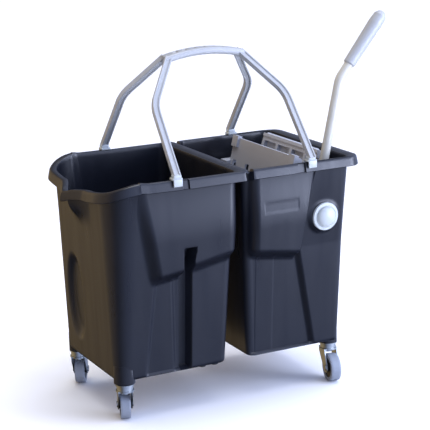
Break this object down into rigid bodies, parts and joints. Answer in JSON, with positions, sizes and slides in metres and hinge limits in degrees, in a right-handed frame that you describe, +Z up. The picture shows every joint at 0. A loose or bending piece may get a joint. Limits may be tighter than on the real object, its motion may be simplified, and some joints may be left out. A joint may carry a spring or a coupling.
{
  "type": "double mop bucket with press wringer",
  "caption": "Double cleaning bucket on swivel casters: two tapered tubs side by side, a lever press wringer in one, a pouring spout, and an arched four-legged carry handle.",
  "frame": {"origin": "on the floor, under the middle of the object's overall length and depth", "axes": "+X from the clear-water bucket with the spout towards the wringer bucket, +Y from the lever side to the other long side, +Z up"},
  "size_m": [0.539, 0.2882, 0.6122],
  "materials": {
    "bucket_plastic": "satin moulded polypropylene",
    "handle_plastic": "silver-grey moulded",
    "clip_plastic": "satin",
    "jaw_plastic": "satin",
    "bush_plastic": "satin",
    "cap_plastic": "satin",
    "grip_plastic": "satin",
    "lever_paint": "powder coat",
    "steel": "plain",
    "zinc": "zinc plated",
    "hub_plastic": "satin",
    "tyre_grey": "matt thermoplastic rubber"
  },
  "bodies": {
    "wringer_bucket": {"right_bucket": "bucket_plastic", "shaft_bush_front": "bush_plastic", "shaft_bush_back": "bush_plastic", "shaft_cap_front": "cap_plastic", "shaft_cap_back": "cap_plastic", "fixed_jaw": "jaw_plastic", "return_spring": "steel", "caster_fr_stem": "zinc", "caster_fr_race": "zinc", "caster_br_stem": "zinc", "caster_br_race": "zinc"},
    "water_bucket": {"left_bucket": "bucket_plastic", "caster_fl_stem": "zinc", "caster_fl_race": "zinc", "caster_bl_stem": "zinc", "caster_bl_race": "zinc"},
    "handle": {"carry_handle": "handle_plastic", "foot_front_left": "clip_plastic", "foot_front_right": "clip_plastic", "foot_back_left": "clip_plastic", "foot_back_right": "clip_plastic"},
    "press_lever": {"press_shaft": "steel", "press_jaw": "jaw_plastic", "lever_socket": "jaw_plastic", "lever_bolt": "steel", "lever_tube": "lever_paint", "lever_grip": "grip_plastic"},
    "swivel_fl": {"caster_fl_fork": "zinc", "caster_fl_axle": "steel"},
    "wheel_fl": {"caster_fl_hub": "hub_plastic", "caster_fl_tyre": "tyre_grey"},
    "swivel_bl": {"caster_bl_fork": "zinc", "caster_bl_axle": "steel"},
    "wheel_bl": {"caster_bl_hub": "hub_plastic", "caster_bl_tyre": "tyre_grey"},
    "swivel_fr": {"caster_fr_fork": "zinc", "caster_fr_axle": "steel"},
    "wheel_fr": {"caster_fr_hub": "hub_plastic", "caster_fr_tyre": "tyre_grey"},
    "swivel_br": {"caster_br_fork": "zinc", "caster_br_axle": "steel"},
    "wheel_br": {"caster_br_hub": "hub_plastic", "caster_br_tyre": "tyre_grey"}
  },
  "joints": [
    {"name": "water_bucket_lift", "type": "slide", "parent": "wringer_bucket", "child": "water_bucket", "axis": [0, 0, 1], "range_m": [0, 0.4]},
    {"name": "handle_lift", "type": "slide", "parent": "water_bucket", "child": "handle", "axis": [0, 0, 1], "range_m": [0, 0.25]},
    {"name": "lever_swing", "type": "hinge", "parent": "wringer_bucket", "child": "press_lever", "pos_m": [0.134, 0, 0.294], "axis": [0, -1, 0], "range_deg": [0, 16], "stiffness_Nm_per_rad": 3, "springref_deg": -20.05},
    {"name": "swivel_fl_turn", "type": "hinge", "parent": "water_bucket", "child": "swivel_fl", "pos_m": [-0.2125, -0.094, 0.0527], "axis": [0, 0, 1], "continuous": true},
    {"name": "wheel_fl_roll", "type": "hinge", "parent": "swivel_fl", "child": "wheel_fl", "pos_m": [-0.20669, -0.07802, 0.0235], "axis": [-0.9397, 0.342, 0], "continuous": true},
    {"name": "swivel_bl_turn", "type": "hinge", "parent": "water_bucket", "child": "swivel_bl", "pos_m": [-0.2125, 0.094, 0.0527], "axis": [0, 0, 1], "continuous": true},
    {"name": "wheel_bl_roll", "type": "hinge", "parent": "swivel_bl", "child": "wheel_bl", "pos_m": [-0.204, 0.10872, 0.0235], "axis": [-0.866, 0.5, 0], "continuous": true},
    {"name": "swivel_fr_turn", "type": "hinge", "parent": "wringer_bucket", "child": "swivel_fr", "pos_m": [0.1645, -0.087, 0.0527], "axis": [0, 0, 1], "continuous": true},
    {"name": "wheel_fr_roll", "type": "hinge", "parent": "swivel_fr", "child": "wheel_fr", "pos_m": [0.16155, -0.10374, 0.0235], "axis": [0.9848, -0.1736, 0], "continuous": true},
    {"name": "swivel_br_turn", "type": "hinge", "parent": "wringer_bucket", "child": "swivel_br", "pos_m": [0.1645, 0.087, 0.0527], "axis": [0, 0, 1], "continuous": true},
    {"name": "wheel_br_roll", "type": "hinge", "parent": "swivel_br", "child": "wheel_br", "pos_m": [0.1689, 0.10342, 0.0235], "axis": [-0.9659, 0.2588, 0], "continuous": true}
  ]
}
